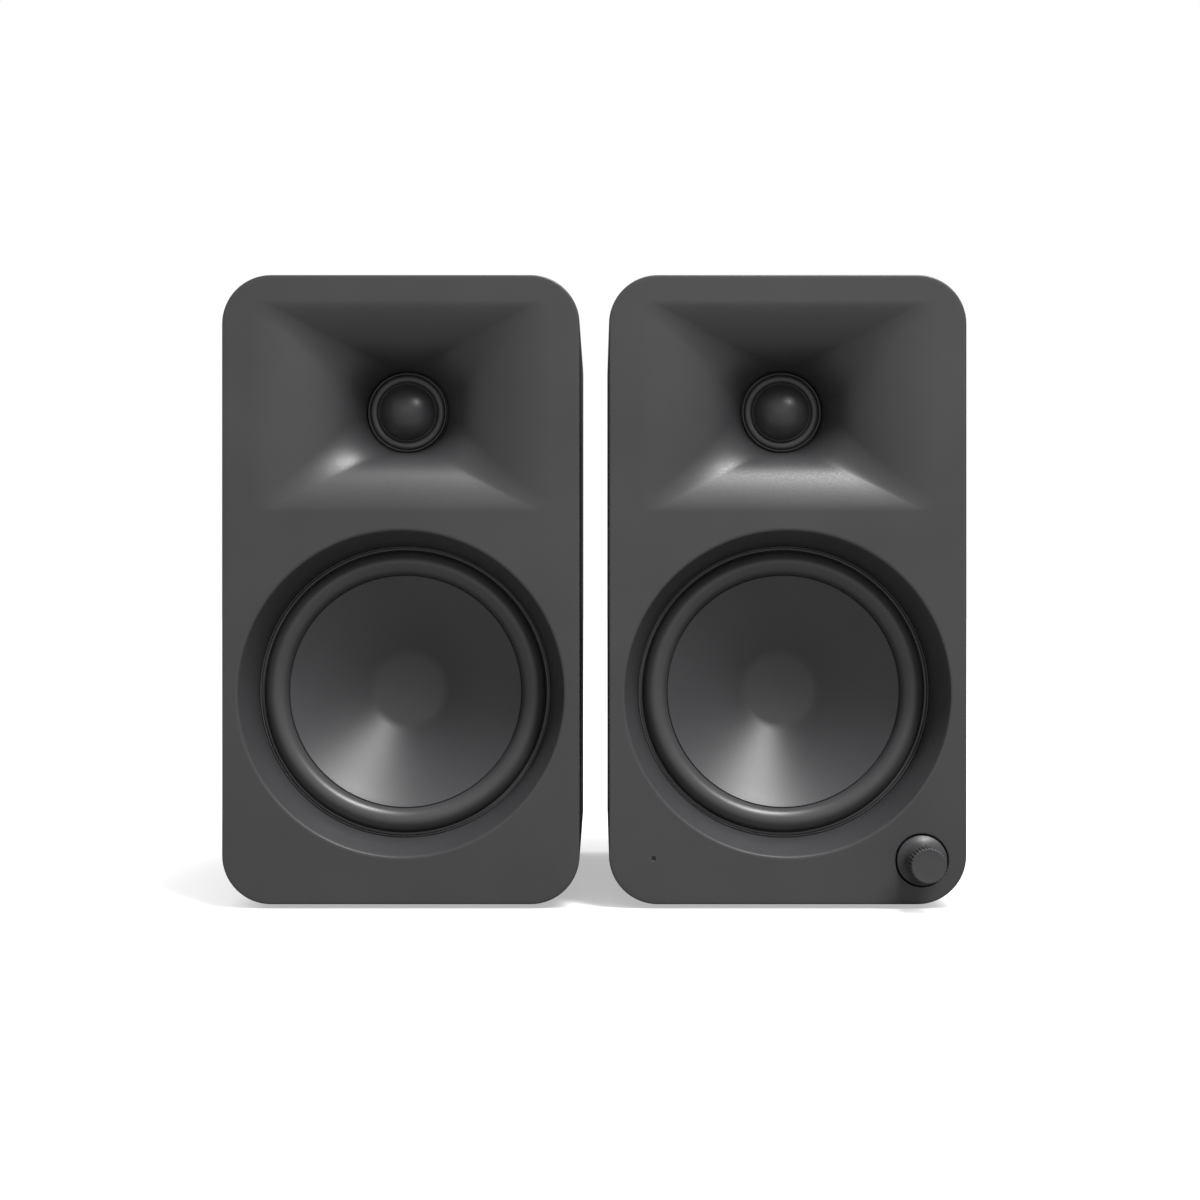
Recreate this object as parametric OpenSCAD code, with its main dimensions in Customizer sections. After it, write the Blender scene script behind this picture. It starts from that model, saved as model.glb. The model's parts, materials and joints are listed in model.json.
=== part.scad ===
// A pair of compact powered desktop speakers: a left passive one and a right active one.
// Each speaker is drawn in its own frame: x to the right, y from the front face to the back,
// z up from the cabinet's underside. The assembly's origin is on the desk, under the middle.

/* [Cabinet] */
// Width of one cabinet
cab_w = 100; // [100:1:110]
// Height of one cabinet, without its feet
cab_h = 176; // [176:1:190]
// Depth of one cabinet, front face to rear edge
cab_d = 138; // [136:1:160]
// Radius of the four long edges
corner_r = 13.7; // [13:0.1:14]
// Thickness of the cabinet walls
wall = 4; // [3.8:0.1:4]
// Clear space between the two cabinets
cab_gap = 8.2; // [5:0.1:60]
// Height that the feet hold the cabinet above the desk
foot_h = 1.3; // [1:0.1:2]

/* [Front] */
// Thickness of the front face
face_t = 3; // [2.6:0.1:3.2]
// Depth of the front cap's rim
cap_d = 6; // [5:0.5:6.5]
// Height of the tweeter and its waveguide above the underside
tweeter_z = 139.4; // [139:0.1:142]
// Height of the woofer above the underside
woofer_z = 58.9; // [58:0.1:60]

/* [Waveguide] */
// Width of the mouth
horn_w = 85; // [80:1:86]
// Height of the mouth
horn_h = 58.8; // [54:0.2:59]
// Depth from the mouth to the throat
horn_d = 21; // [19:0.5:22]
// Radius of the throat
throat_r = 11.6; // [11.6:0.1:11.9]

/* [Woofer] */
// Radius of the recess at the front face
recess_r = 45.6; // [45:0.1:45.8]
// Radius of the recess where it meets the driver
seat_r = 41.7; // [41.5:0.1:42]

/* [Volume knob] */
// Distance that the knob stands out of the front face
knob_out = 13; // [10:0.5:14]
// Radius of the knob's skirt
knob_skirt_r = 7; // [6.5:0.1:7]
// Radius of the knob's grip
knob_grip_r = 5; // [4.6:0.1:5.2]
// Number of grooves around the grip
knob_grooves = 32; // [24:2:60]

/* [Rear] */
// Radius of the bass port's bore
port_r = 13; // [12:0.5:13]
// Length of the bass port
port_len = 73; // [60:1:75]
// Distance that the signal sockets stand out of the rear panel
socket_out = 8; // [7.5:0.5:9]

/* [Hidden] */
$fn = 96;
left = -1;
right = 1;

// Colours
charcoal = [0.20, 0.20, 0.21];
dark_plastic = [0.13, 0.13, 0.14];
rubber_black = [0.08, 0.08, 0.08];
cone_grey = [0.17, 0.17, 0.18];
steel = [0.62, 0.63, 0.65];
ferrite = [0.18, 0.18, 0.19];
aluminium = [0.76, 0.77, 0.78];
copper = [0.72, 0.42, 0.22];
board_green = [0.10, 0.30, 0.18];
foam_grey = [0.36, 0.36, 0.38];
spider_gold = [0.62, 0.42, 0.16];
encoder_grey = [0.25, 0.25, 0.27];
clear_white = [0.90, 0.92, 0.95];
lead_red = [0.55, 0.08, 0.08];

// Layout
fit_gap = 0.15;
rear_out = cab_d - 3 + socket_out;
y_front = -(rear_out - knob_out) / 2;
pitch = cab_w + cab_gap;
panel_y0 = cab_d - 6;
panel_y1 = cab_d - 3;
tongue_t = 1.6;
tongue_d = 3;

// Feet
foot_r = 5;
foot_sink = 1.2;
foot_x = 30;
foot_y = [22, cab_d - 22];

// Waveguide
mouth_corner_r = 4;
mouth_lead = 0.3;
mouth_y = 0.05;
horn_corner_pts = 8;
horn_rings = 12;
horn_wall = 1.6;
horn_flare = 1.2;
boss_r = 20;
boss_y0 = horn_d - 5;
throat_end = horn_d + 2.4;

// Woofer recess and screws
recess_d = 14;
seat_d = 15.6;
recess_wall = 1.8;
recess_power = 1.8;
recess_steps = 8;
ear_pcr = 48.5;
post_r = 3;

// Screws: shaft, head and pilot hole
case_shaft_r = 1.4;
case_head_r = 2.75;
case_head_h = 1.8;
case_screw_l = 9;
driver_shaft_r = 1.2;
driver_head_r = 2.6;
small_shaft_r = 0.9;
small_head_r = 1.8;
pilot_gap = 0.05;
hole_gap = 0.2;
case_boss_r = 3.2;
case_screw_x = cab_w / 2 - wall - 4.6;
case_screw_z = [11.5, cab_h / 2, cab_h - 11.5];
tweeter_screw_pcr = 16.4;

// Woofer
frame_t = 1.6;
roll_r = 36.75;
roll_half = 3.3;
roll_t = 0.6;
cone_edge_r = 33.4;
cone_lip_r = 31.9;
cone_y = seat_d + 0.2;
dish_r = 10;
dish_y = cone_y + 12.5;
dish_sag = 2.3;
cone_t = 0.6;
former_in = 9.55;
former_out = 9.8;
former_end = dish_y + 16.1;
winding_r = 10.6;
winding_y = [former_end - 8.2, former_end - 0.4];
spider_y = seat_d + 17.6;
spider_wave = 0.7;
spider_t = 0.35;
spider_r = [former_out + 0.02, 30];
top_plate_y = [seat_d + 22, seat_d + 26];
magnet_y1 = top_plate_y[1] + 10;
yoke_y1 = magnet_y1 + 5;
pole_r = 9.1;
gap_r = 11;
magnet_r = 30;

// Tweeter
ring_in = 10.9;
ring_out = 11.4;
ring_y = horn_d + 0.2;
ledge_y = horn_d + 1.3;
ledge_in = 10.1;
tw_flange_t = 2;
tw_flange_y1 = throat_end + tw_flange_t;
tw_roll_r = 9.75;
tw_roll_half = 0.85;
tw_roll_t = 0.25;
dome_r = 8.45;
dome_h = 5.5;
dome_t = 0.35;
dome_y = ledge_y - 0.25;
tw_former_end = dome_y + 7.6;
tw_cup_y1 = tw_flange_y1 + 10;
tw_cup_r = 13;
tw_gap_r = 9.05;
tw_pole_r = 8;

// Volume control
knob_x = 37.5;
knob_z = 12.3;
knob_hole_r = 7.4;
knob_back = 1;
grip_len = 6.4;
groove_depth = 0.4;
shaft_r = 2;
run_gap = 0.05;
encoder_half = 5;
encoder_y = [9.4, 14.9];
rotor_r = 3.8;
board_y = [15, 16.6];
board_top = 19.5;
lens_x = -37.5;
lens_z = 12.8;
lens_r = 0.55;
stake_x = 24;
stake_z = 8.2;
stake_r = 1.2;

// Rear fittings
port_z = tweeter_z;
port_wall = 1.8;
flare_r = 5;
lip_r = port_r + flare_r;
port_flange_r = lip_r + 3;
rca_x = 9;
rca_z = 92;
rca_r = 4.15;
rca_collar_r = 5.2;
rca_collar_out = 0.8;
link_z = 66;
link_size = [14, 11];
link_hole = [10, 7];
link_depth = 9;
power_z = 36;
power_size = [22, 14];
power_hole = [15.6, 8.2];
power_depth = 11;
amp_y = [panel_y0 - 12, panel_y0 - 10.4];
amp_half_w = 35;
amp_z = [20, 106];
amp_post_x = 30;
amp_post_z = [26, 100];
crossover_z = [12, 13.6];
crossover_half_w = 25;
crossover_y = [62, 96];
crossover_posts = [[-20, 67], [20, 91]];
foam_y = [60, 94];
foam_t = 8;
foam_z0 = 24;
lead_r = 0.8;

shared = [
    "cabinet", "front_baffle", "rear_panel", "case_screws", "driver_screws", "feet", "port_tube",
    "woofer_frame", "woofer_surround", "woofer_cone", "woofer_voice_coil", "woofer_spider",
    "woofer_top_plate", "woofer_magnet", "woofer_yoke", "tweeter_flange", "tweeter_surround",
    "tweeter_dome", "tweeter_voice_coil", "tweeter_magnet", "tweeter_cup", "damping_foam",
    "link_socket", "crossover_board", "wiring"
];
active = [
    "volume_knob", "encoder_shaft", "encoder_rotor", "encoder_body", "status_lens",
    "control_board", "amp_board", "heat_sink", "rca_sockets", "power_socket"
];

// ---------- Functions ----------

function lerp(a, b, t) = a + (b - a) * t;
function arc(c, r, a0, a1, n) = [
    for (i = [0:n])
        let (a = lerp(a0, a1, i / n)) c + r * [cos(a), sin(a)]
];
function reversed(v) = [for (i = [len(v) - 1:-1:0]) v[i]];
function shifted(v, d) = [for (p = v) p + [0, d]];
function unit(v) = v / norm(v);
function about(c, half) = [c - half, c + half];

// Half width, half height and corner radius of the waveguide at depth y
function horn_size(y) =
    let (
        t = min(max(y / horn_d, 0), 1),
        half_w = throat_r + (horn_w / 2 - throat_r) * (1 - pow(t, 1 / 3)),
        half_h = throat_r + (horn_h / 2 - throat_r) * (1 - pow(t, 1 / 1.5))
    )
    [half_w, half_h, lerp(mouth_corner_r, throat_r, t)];

// A rounded rectangle as points at depth y, with size [half width, half height, corner radius]
function rounded_ring(size, y, n) = [
    for (k = [0:3], i = [0:n])
        let (
            a = 90 * k + 90 * i / n,
            cx = (k == 0 || k == 3 ? 1 : -1) * (size[0] - size[2]),
            cz = (k < 2 ? 1 : -1) * (size[1] - size[2])
        )
        [cx + size[2] * cos(a), y, cz + size[2] * sin(a)]
];

// Radius of the woofer recess at depth y
function recess_radius(y) = seat_r + (recess_r - seat_r) * pow(1 - min(y / recess_d, 1), recess_power);

// Front surface of the cone, from its edge to its centre, as [radius, depth]
cone_front = concat(
    [[cone_edge_r, cone_y], [cone_lip_r, cone_y]],
    [for (i = [0:6])
        let (
            r = dish_r * (1 - i / 6),
            big_r = (dish_r * dish_r + dish_sag * dish_sag) / (2 * dish_sag)
        )
        [r, dish_y + dish_sag - big_r + sqrt(big_r * big_r - r * r)]]
);

// ---------- Helpers ----------

// Places one speaker's frame in the assembly
module at_speaker(side) {
    translate([side * pitch / 2, y_front, foot_h]) children();
}

// Local z runs along +y, the depth behind the front face
module on_axis(x, z) {
    translate([x, 0, z]) rotate([-90, 0, 0]) children();
}

module disc(r, y0, y1) {
    translate([0, 0, y0]) cylinder(r = r, h = y1 - y0);
}

module pipe(r_out, r_in, y0, y1) {
    difference() {
        disc(r_out, y0, y1);
        disc(r_in, y0 - 1, y1 + 1);
    }
}

module revolve(points) {
    rotate_extrude() polygon(points);
}

module round_rect(w, h, r) {
    square([w - 2 * r, h], center = true);
    square([w, h - 2 * r], center = true);
    for (sx = [-1, 1], sy = [-1, 1])
        translate([sx * (w / 2 - r), sy * (h / 2 - r)]) circle(r);
}

// The cabinet's outline moved inwards by inset, from depth y0 to depth y1
module slab(y0, y1, inset) {
    translate([0, y0, cab_h / 2]) rotate([-90, 0, 0]) linear_extrude(y1 - y0)
        round_rect(cab_w - 2 * inset, cab_h - 2 * inset, corner_r - inset);
}

module hollow_slab(y0, y1, inset, t) {
    difference() {
        slab(y0, y1, inset);
        slab(y0 - 1, y1 + 1, inset + t);
    }
}

// A box centred on x, between two depths and two heights
module block(x, w, y, z) {
    translate([x - w / 2, y[0], z[0]]) cube([w, y[1] - y[0], z[1] - z[0]]);
}

// A closed solid through a list of rings that have the same number of points
module loft(rings) {
    n = len(rings[0]);
    m = len(rings);
    sides = [
        for (j = [0:m - 2], i = [0:n - 1])
            [j * n + i, j * n + (i + 1) % n, (j + 1) * n + (i + 1) % n, (j + 1) * n + i]
    ];
    front = [for (i = [n - 1:-1:0]) i];
    back = [for (i = [0:n - 1]) (m - 1) * n + i];
    polyhedron(
        points = [for (ring = rings) each ring],
        faces = concat([front], sides, [back]),
        convexity = 6
    );
}

// A lead swept along a smooth curve through four control points
module lead(p, r) {
    steps = 10;
    sides = 8;
    lean = unit([1, 0.4, 0.25]);
    rings = [
        for (i = [0:steps])
            let (
                t = i / steps,
                u = 1 - t,
                at = u * u * u * p[0] + 3 * u * u * t * p[1] + 3 * u * t * t * p[2] + t * t * t * p[3],
                along = unit(u * u * (p[1] - p[0]) + 2 * u * t * (p[2] - p[1]) + t * t * (p[3] - p[2])),
                e1 = unit(cross(along, lean)),
                e2 = cross(e1, along)
            )
            [for (k = [0:sides - 1]) at + r * (e1 * cos(360 * k / sides) + e2 * sin(360 * k / sides))]
    ];
    loft(rings);
}

// A screw whose head sits at depth 0 and whose shaft runs towards +z
module screw(shaft_r, head_r, head_h, length) {
    difference() {
        union() {
            disc(head_r, -head_h, 0);
            disc(shaft_r, -0.1, length);
        }
        for (a = [0, 90])
            rotate([0, 0, a]) translate([-head_r * 0.55, -0.3, -head_h - 0.5]) cube([head_r * 1.1, 0.6, 1.3]);
    }
}

// Repeats children at the six rear screw places
module at_case_screws() {
    for (sx = [-1, 1], z = case_screw_z) on_axis(sx * case_screw_x, z) children();
}

// Repeats children at the four woofer screw places
module at_woofer_screws() {
    for (a = [45:90:315]) on_axis(ear_pcr * cos(a), woofer_z + ear_pcr * sin(a)) children();
}

// Repeats children at the three tweeter screw places
module at_tweeter_screws() {
    for (a = [90:120:330])
        on_axis(tweeter_screw_pcr * cos(a), tweeter_z + tweeter_screw_pcr * sin(a)) children();
}

module at_amp_posts() {
    for (sx = [-1, 1], z = amp_post_z) on_axis(sx * amp_post_x, z) children();
}

// ---------- Case ----------

module cabinet() {
    color(charcoal) difference() {
        union() {
            hollow_slab(cap_d, cab_d, 0, wall);
            intersection() {
                for (sx = [-1, 1], z = case_screw_z) {
                    on_axis(sx * case_screw_x, z) disc(case_boss_r, panel_y0 - 14, panel_y0);
                    block(
                        sx * (cab_w / 2 - wall / 2 - 2), wall + 2,
                        [panel_y0 - 14, panel_y0], [z - case_boss_r, z + case_boss_r]
                    );
                }
                slab(cap_d, cab_d, wall / 2);
            }
            for (p = crossover_posts)
                translate([p[0], p[1], wall / 2]) cylinder(r = case_boss_r, h = crossover_z[0] - wall / 2);
        }
        at_case_screws() disc(case_shaft_r + pilot_gap, panel_y0 - 12, panel_y0 + 1);
        for (p = crossover_posts)
            translate([p[0], p[1], wall]) cylinder(r = case_shaft_r + pilot_gap, h = crossover_z[0]);
        for (sx = [-1, 1], y = foot_y)
            translate([sx * foot_x, y, -1]) cylinder(r = foot_r + fit_gap, h = 1 + foot_sink);
    }
}

module horn_cavity() {
    translate([0, 0, tweeter_z]) loft(concat(
        [rounded_ring(horn_size(0) + [mouth_lead, mouth_lead, 0], -1, horn_corner_pts)],
        [for (i = [0:horn_rings])
            let (y = lerp(mouth_y, horn_d, pow(i / horn_rings, 1.6)))
            rounded_ring(horn_size(y - mouth_y), y, horn_corner_pts)],
        [rounded_ring(horn_size(horn_d), horn_d + 1, horn_corner_pts)]
    ));
}

module horn_shell() {
    rings = 6;
    y0 = face_t - 0.5;
    y1 = throat_end - 0.4;
    translate([0, 0, tweeter_z]) loft([
        for (i = [0:rings])
            let (
                y = lerp(y0, y1, i / rings),
                s = horn_size(y - horn_wall)
            )
            rounded_ring([s[0] + horn_flare, s[1] + horn_flare, s[2] + horn_flare], y, 6)
    ]);
}

module recess_shell() {
    outer = [
        for (i = [0:recess_steps])
            let (y = recess_d * i / recess_steps) [recess_radius(y) + recess_wall, y]
    ];
    on_axis(0, woofer_z) revolve(concat([[0, 0]], outer, [[seat_r + recess_wall, seat_d], [0, seat_d]]));
}

module recess_cavity() {
    inner = [
        for (i = [0:recess_steps])
            let (y = recess_d * i / recess_steps) [recess_radius(y), y]
    ];
    ends = [[seat_r, seat_d + 1], [0, seat_d + 1]];
    on_axis(0, woofer_z) revolve(concat([[0, -1], [recess_r, -1]], inner, ends));
}

module front_baffle(with_controls) {
    color(charcoal) difference() {
        union() {
            slab(0, face_t, 0);
            hollow_slab(face_t - 0.5, cap_d, 0, wall);
            hollow_slab(face_t - 0.5, cap_d + tongue_d, wall + fit_gap, tongue_t);
            horn_shell();
            on_axis(0, tweeter_z) disc(boss_r, boss_y0, throat_end);
            recess_shell();
            at_woofer_screws() disc(post_r, face_t - 0.5, seat_d);
            if (with_controls)
                for (sx = [-1, 1]) on_axis(sx * stake_x, stake_z) {
                    disc(stake_r + 1, face_t - 0.5, board_y[0]);
                    disc(stake_r, board_y[0] - 1, board_y[1] + 0.8);
                }
        }
        horn_cavity();
        on_axis(0, tweeter_z) disc(throat_r + fit_gap, horn_d, throat_end + 1);
        recess_cavity();
        at_woofer_screws() disc(driver_shaft_r + pilot_gap, 5, seat_d + 1);
        at_tweeter_screws() disc(small_shaft_r + pilot_gap, throat_end - 5, throat_end + 1);
        if (with_controls) {
            on_axis(knob_x, knob_z) disc(knob_hole_r, -1, cap_d + tongue_d + 1);
            on_axis(lens_x, lens_z) disc(lens_r + pilot_gap, -1, face_t + 1);
        }
    }
}

module rear_panel(with_sockets) {
    color(dark_plastic) difference() {
        union() {
            slab(panel_y0, panel_y1, wall + fit_gap);
            if (with_sockets) at_amp_posts() disc(case_boss_r, amp_y[1], panel_y0 + 0.5);
        }
        on_axis(0, port_z) disc(lip_r + pilot_gap, panel_y0 - 1, panel_y1 + 1);
        at_case_screws() disc(case_shaft_r + hole_gap, panel_y0 - 1, panel_y1 + 1);
        block(0, link_size[0] + 0.2, [panel_y0 - 1, panel_y1 + 1], about(link_z, link_size[1] / 2 + 0.1));
        if (with_sockets) {
            at_amp_posts() disc(case_shaft_r + pilot_gap, amp_y[1] - 1, panel_y0 + 1);
            for (sx = [-1, 1]) on_axis(sx * rca_x, rca_z)
                disc(rca_collar_r + fit_gap, panel_y0 - 1, panel_y1 + 1);
            block(
                0, power_size[0] + 0.2, [panel_y0 - 1, panel_y1 + 1],
                about(power_z, power_size[1] / 2 + 0.1)
            );
        }
    }
}

module case_screws(with_board) {
    color(steel) {
        translate([0, panel_y1, 0]) at_case_screws() mirror([0, 0, 1])
            screw(case_shaft_r, case_head_r, case_head_h, case_screw_l);
        for (p = crossover_posts)
            translate([p[0], p[1], crossover_z[1]]) mirror([0, 0, 1])
                screw(case_shaft_r, case_head_r, case_head_h, case_screw_l - 0.5);
        if (with_board)
            translate([0, amp_y[0], 0]) at_amp_posts()
                screw(case_shaft_r, case_head_r, case_head_h, case_screw_l);
    }
}

module driver_screws() {
    color(steel) {
        translate([0, seat_d + frame_t, 0]) at_woofer_screws() mirror([0, 0, 1])
            screw(driver_shaft_r, driver_head_r, 1.7, 8);
        translate([0, tw_flange_y1, 0]) at_tweeter_screws() mirror([0, 0, 1])
            screw(small_shaft_r, small_head_r, 1.2, 5.5);
    }
}

module feet() {
    color(rubber_black) for (sx = [-1, 1], y = foot_y)
        translate([sx * foot_x, y, -foot_h]) cylinder(r = foot_r, h = foot_h + foot_sink);
}

module port_tube() {
    y0 = panel_y1 - port_len;
    flare = arc([lip_r, panel_y1 - flare_r], flare_r, 180, 90, 8);
    color(dark_plastic) on_axis(0, port_z) revolve(concat(
        [[port_r, y0]],
        flare,
        [
            [lip_r, panel_y0], [port_flange_r, panel_y0], [port_flange_r, panel_y0 - 1.5],
            [lip_r, panel_y0 - 1.5], [port_r + port_wall, panel_y0 - 7], [port_r + port_wall, y0]
        ]
    ));
}

module damping_foam() {
    inner_w = cab_w - 2 * wall - 0.4;
    z1 = cab_h - wall - 0.2;
    color(foam_grey) intersection() {
        difference() {
            block(0, inner_w, foam_y, [foam_z0, z1]);
            block(0, inner_w - 2 * foam_t, [foam_y[0] - 1, foam_y[1] + 1], [foam_z0 - 1, z1 - foam_t]);
        }
        slab(foam_y[0] - 1, foam_y[1] + 1, wall + 0.2);
    }
}

// ---------- Woofer ----------

module woofer_frame() {
    back = top_plate_y[0];
    ledge = spider_y + spider_t / 2 + 0.3;
    profile = [
        [37.5, seat_d], [45.2, seat_d], [45.2, seat_d + frame_t], [41.9, seat_d + frame_t],
        [32.6, ledge], [32.6, ledge + frame_t], [29, back], [12, back], [12, back - frame_t],
        [26.5, back - frame_t], [27.5, ledge + frame_t], [27.5, ledge], [30.6, ledge],
        [39.9, seat_d + frame_t], [37.5, seat_d + frame_t]
    ];
    color(dark_plastic) difference() {
        union() {
            on_axis(0, woofer_z) revolve(profile);
            at_woofer_screws() disc(4.4, seat_d, seat_d + frame_t);
        }
        at_woofer_screws() disc(driver_shaft_r + hole_gap, seat_d - 1, seat_d + frame_t + 1);
        on_axis(0, woofer_z) for (a = [30:60:330])
            rotate([0, 0, a]) translate([24, -10, seat_d + 3.5]) cube([22, 20, 10.5]);
    }
}

module woofer_surround() {
    base = cone_y - 0.6;
    front = arc([roll_r, base], roll_half, 180, 360, 14);
    back = arc([roll_r, base], roll_half - roll_t, 360, 180, 14);
    color(rubber_black) on_axis(0, woofer_z) revolve(concat(
        [[cone_lip_r, cone_y - 0.02], [cone_lip_r, base]],
        front,
        [[41.2, base], [41.2, seat_d - 0.02], [roll_r + roll_half - roll_t, seat_d - 0.02]],
        back,
        [[roll_r - roll_half + roll_t, cone_y - 0.02]]
    ));
}

module woofer_cone() {
    color(cone_grey) on_axis(0, woofer_z)
        revolve(concat(cone_front, reversed(shifted(cone_front, cone_t))));
}

module woofer_voice_coil() {
    color(copper) on_axis(0, woofer_z) revolve([
        [former_in, dish_y + cone_t + 0.25], [former_out, dish_y + cone_t + 0.25],
        [former_out, winding_y[0]], [winding_r, winding_y[0]], [winding_r, winding_y[1]],
        [former_out, winding_y[1]], [former_out, former_end], [former_in, former_end]
    ]);
}

module woofer_spider() {
    n = 24;
    wave = [
        for (i = [0:n])
            let (
                t = i / n,
                wave_y = spider_wave * sin(3.5 * 360 * t) * (1 - pow(t, 6))
            )
            [lerp(spider_r[0], spider_r[1], t), spider_y + wave_y]
    ];
    color(spider_gold) on_axis(0, woofer_z)
        revolve(concat(shifted(wave, -spider_t / 2), reversed(shifted(wave, spider_t / 2))));
}

module woofer_top_plate() {
    color(steel) on_axis(0, woofer_z) pipe(magnet_r - 2, gap_r, top_plate_y[0], top_plate_y[1]);
}

module woofer_magnet() {
    color(ferrite) on_axis(0, woofer_z) pipe(magnet_r, 14, top_plate_y[1], magnet_y1);
}

module woofer_yoke() {
    color(steel) on_axis(0, woofer_z) difference() {
        union() {
            disc(magnet_r - 1.5, magnet_y1, yoke_y1);
            disc(pole_r, top_plate_y[0] - 0.5, magnet_y1 + 1);
        }
        disc(3, top_plate_y[0] - 2, yoke_y1 + 1);
    }
}

// ---------- Tweeter ----------

module tweeter_flange() {
    color(dark_plastic) difference() {
        on_axis(0, tweeter_z) revolve([
            [ledge_in, ledge_y], [ring_in, ledge_y], [ring_in, ring_y], [ring_out, ring_y],
            [ring_out, throat_end], [boss_r - 0.5, throat_end], [boss_r - 0.5, tw_flange_y1],
            [ledge_in, tw_flange_y1]
        ]);
        at_tweeter_screws() disc(small_shaft_r + hole_gap, throat_end - 1, tw_flange_y1 + 1);
    }
}

module tweeter_surround() {
    front = arc([tw_roll_r, dome_y], tw_roll_half, 180, 360, 10);
    back = arc([tw_roll_r, dome_y + tw_roll_t], tw_roll_half - tw_roll_t, 360, 180, 10);
    inner = dome_r + 0.02;
    color(rubber_black) on_axis(0, tweeter_z) revolve(concat(
        [[inner, dome_y]],
        front,
        [[ring_in - 0.1, dome_y], [ring_in - 0.1, dome_y + tw_roll_t - 0.02]],
        back,
        [[inner, dome_y + tw_roll_t]]
    ));
}

module tweeter_dome() {
    big_r = (dome_r * dome_r + dome_h * dome_h) / (2 * dome_h);
    n = 8;
    front = [
        for (i = [0:n])
            let (r = dome_r * i / n) [r, dome_y - dome_h + big_r - sqrt(big_r * big_r - r * r)]
    ];
    color(cone_grey) on_axis(0, tweeter_z)
        revolve(concat(front, reversed(shifted([for (p = front) [p[0] * 0.985, p[1]]], dome_t))));
}

module tweeter_voice_coil() {
    y0 = dome_y + dome_t + 0.05;
    color(copper) on_axis(0, tweeter_z) revolve([
        [dome_r - 0.2, y0], [dome_r, y0], [dome_r, tw_former_end - 2.4], [dome_r + 0.3, tw_former_end - 2.4],
        [dome_r + 0.3, tw_former_end], [dome_r - 0.2, tw_former_end]
    ]);
}

module tweeter_magnet() {
    color(steel) on_axis(0, tweeter_z) {
        disc(tw_pole_r, tw_flange_y1 + 0.6, tw_flange_y1 + 3);
        disc(tw_pole_r - 0.8, tw_flange_y1 + 2.9, tw_cup_y1 - 2);
    }
}

module tweeter_cup() {
    color(steel) on_axis(0, tweeter_z) difference() {
        disc(tw_cup_r, tw_flange_y1, tw_cup_y1);
        disc(tw_gap_r, tw_flange_y1 - 1, tw_cup_y1 - 2);
    }
}

// ---------- Controls ----------

module volume_knob() {
    grip_y0 = -knob_out + grip_len;
    flare_pts = 8;
    skirt = [
        for (i = [0:flare_pts])
            let (t = i / flare_pts)
            [lerp(knob_grip_r - groove_depth - 0.1, knob_skirt_r, pow(1 - t, 4.5)), lerp(-0.5, grip_y0, t)]
    ];
    grip = [
        for (i = [0:2 * knob_grooves - 1])
            let (
                a = 180 * i / knob_grooves,
                r = knob_grip_r - (i % 2) * groove_depth
            )
            r * [cos(a), sin(a)]
    ];
    color(charcoal) on_axis(knob_x, knob_z) difference() {
        union() {
            revolve(concat([[0, knob_back], [knob_skirt_r, knob_back]], skirt, [[0, grip_y0]]));
            translate([0, 0, -knob_out]) linear_extrude(grip_len + 0.2) polygon(grip);
        }
        disc(shaft_r + 0.02, -knob_out + 3, knob_back + 1);
    }
}

module encoder_shaft() {
    color(steel) on_axis(knob_x, knob_z) disc(shaft_r, -knob_out + 3.2, 13.2);
}

module encoder_rotor() {
    color(aluminium) on_axis(knob_x, knob_z)
        pipe(rotor_r, shaft_r + run_gap, encoder_y[0] + 1.2, encoder_y[1] - 1.2);
}

module encoder_body() {
    color(encoder_grey) difference() {
        union() {
            block(knob_x, 2 * encoder_half, encoder_y, about(knob_z, encoder_half));
            on_axis(knob_x, knob_z) disc(3.4, 4, encoder_y[0] + 0.5);
        }
        on_axis(knob_x, knob_z) {
            disc(shaft_r + run_gap, 3, encoder_y[0] + 2);
            disc(rotor_r + run_gap, encoder_y[0] + 1, encoder_y[1] - 1);
        }
    }
}

module status_lens() {
    color(clear_white) on_axis(lens_x, lens_z) {
        disc(lens_r, 0.1, face_t + 0.5);
        disc(1.4, face_t, face_t + 1.2);
        disc(0.9, face_t + 1, board_y[0] - 0.8);
    }
}

module control_board() {
    color(board_green) difference() {
        union() {
            intersection() {
                slab(board_y[0], board_y[1], wall + 0.6);
                union() {
                    block(0, cab_w, board_y, [wall + 0.6, 12.6]);
                    for (sx = [-1, 1]) block(sx * 38, 16, board_y, [wall + 0.6, board_top]);
                }
            }
            block(lens_x, 1.6, [board_y[0] - 0.7, board_y[0] + 0.1], about(lens_z, 0.8));
            block(10, 10, [board_y[1] - 0.1, board_y[1] + 5], [6, 12]);
        }
        for (sx = [-1, 1]) on_axis(sx * stake_x, stake_z) disc(stake_r + 0.1, board_y[0] - 1, board_y[1] + 1);
    }
}

module amp_board() {
    front = [amp_y[0] - 6, amp_y[0] + 0.1];
    color(board_green) difference() {
        union() {
            block(0, 2 * amp_half_w, amp_y, amp_z);
            block(0, 14, [amp_y[0] - 2, amp_y[0] + 0.1], [70, 84]);
            for (x = [-22, 22]) translate([x, amp_y[0] + 0.1, 48]) rotate([90, 0, 0]) cylinder(r = 6, h = 18);
            block(0, 26, [amp_y[0] - 17, amp_y[0] + 0.1], [24, 42]);
            block(-20, 10, front, [88, 94]);
        }
        at_amp_posts() disc(case_shaft_r + hole_gap, amp_y[0] - 1, amp_y[1] + 1);
    }
}

module heat_sink() {
    base = [amp_y[0] - 5, amp_y[0] - 2];
    fins = [amp_y[0] - 17, amp_y[0] - 4.5];
    color(aluminium) {
        block(0, 40, base, [62, 84]);
        for (x = [-19:6.3:19]) block(x, 1.6, fins, [62, 84]);
    }
}

// ---------- Sockets and electrics ----------

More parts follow.
